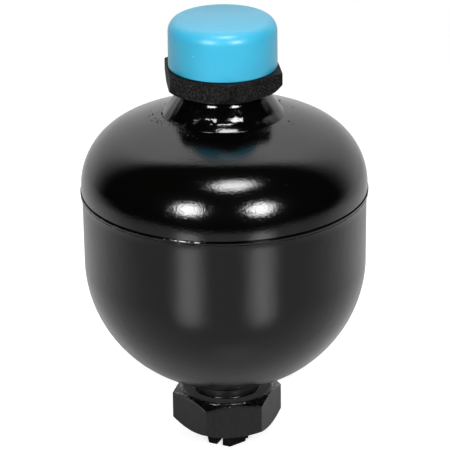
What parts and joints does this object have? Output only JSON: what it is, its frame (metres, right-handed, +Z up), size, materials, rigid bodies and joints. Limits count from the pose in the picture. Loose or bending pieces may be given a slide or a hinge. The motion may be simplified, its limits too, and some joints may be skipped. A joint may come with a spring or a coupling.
{
  "type": "diaphragm accumulator",
  "caption": "Welded steel diaphragm accumulator with a hexagonal fluid port below, a hexagonal gas valve and screw cap above, and a rubber diaphragm with a poppet inside.",
  "frame": {"origin": "centre of the fluid port's sealing face", "axes": "+Z up along the vessel's axis, from the fluid port to the gas valve; the port's hexagon has a corner 8.2 degrees from +X"},
  "size_m": [0.0936, 0.0936, 0.1494],
  "materials": {
    "shell_paint": "gloss black enamel",
    "phosphated_steel": "matt black phosphate",
    "cap_plastic": "moulded, satin gloss",
    "plug_plastic": "moulded, satin",
    "diaphragm_rubber": "moulded nitrile rubber",
    "bare_steel": "turned",
    "seal_rubber": "moulded nitrile rubber"
  },
  "bodies": {
    "vessel": {"lower_shell": "shell_paint", "upper_shell": "shell_paint", "clamp_ring": "bare_steel", "diaphragm": "diaphragm_rubber", "fluid_port": "shell_paint", "gas_neck": "shell_paint", "valve_body_seal": "seal_rubber", "gas_valve_body": "phosphated_steel", "charging_screw": "phosphated_steel", "charging_screw_seal": "seal_rubber", "protective_cap": "cap_plastic", "port_plug": "plug_plastic"},
    "poppet": {"diaphragm_poppet": "bare_steel"}
  },
  "joints": [
    {"name": "diaphragm_stroke", "type": "slide", "parent": "vessel", "child": "poppet", "axis": [0, 0, 1], "range_m": [0, 0.06], "deforming": ["diaphragm"]}
  ]
}
